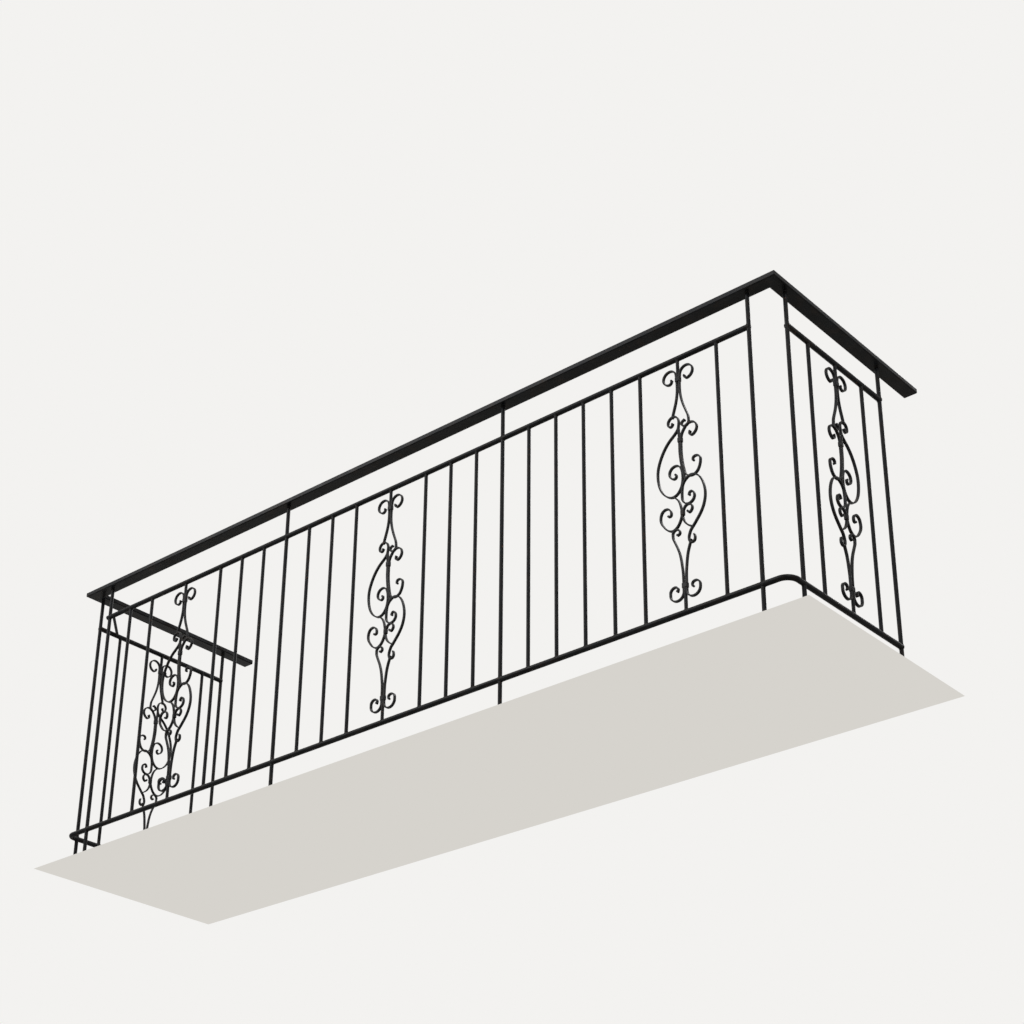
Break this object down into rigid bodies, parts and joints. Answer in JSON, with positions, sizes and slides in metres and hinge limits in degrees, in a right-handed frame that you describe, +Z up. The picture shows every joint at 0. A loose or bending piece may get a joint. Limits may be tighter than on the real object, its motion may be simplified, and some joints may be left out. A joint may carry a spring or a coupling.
{
  "type": "iron balcony railing",
  "caption": "U-shaped iron balcony railing: flat handrail on round posts, with plain balusters and scrolled panels between two rails, and short returns to the wall.",
  "frame": {"origin": "middle of the outline, on the floor under the post feet", "axes": "+X along the front run, +Y from the front run towards the wall, +Z up"},
  "size_m": [2.878, 0.74, 1],
  "materials": {
    "handrail": "satin black paint",
    "rails": "satin black paint",
    "posts": "satin black paint",
    "balusters": "satin black paint",
    "scroll_bars": "satin black paint"
  },
  "bodies": {
    "root": {"handrail_front": "handrail", "handrail_left": "handrail", "handrail_right": "handrail", "under_rail_front": "rails", "under_rail_left": "rails", "under_rail_right": "rails", "bottom_rail_front": "rails", "bottom_rail_left": "rails", "bottom_rail_right": "rails", "bottom_bend_left": "rails", "bottom_bend_right": "rails", "corner_tie": "rails", "front_post_1": "posts", "front_post_2": "posts", "front_post_3": "posts", "front_post_4": "posts", "left_post_front": "posts", "left_post_rear": "posts", "right_post_front": "posts", "right_post_rear": "posts", "balusters_1_left": "balusters", "balusters_1_right": "balusters", "balusters_2_left": "balusters", "balusters_2_right": "balusters", "balusters_3_left": "balusters", "balusters_3_right": "balusters", "left_baluster_front": "balusters", "left_baluster_rear": "balusters", "right_baluster_front": "balusters", "right_baluster_rear": "balusters", "scroll_panel_1": "scroll_bars", "scroll_panel_2": "scroll_bars", "scroll_panel_3": "scroll_bars", "scroll_panel_left": "scroll_bars", "scroll_panel_right": "scroll_bars"}
  },
  "joints": []
}
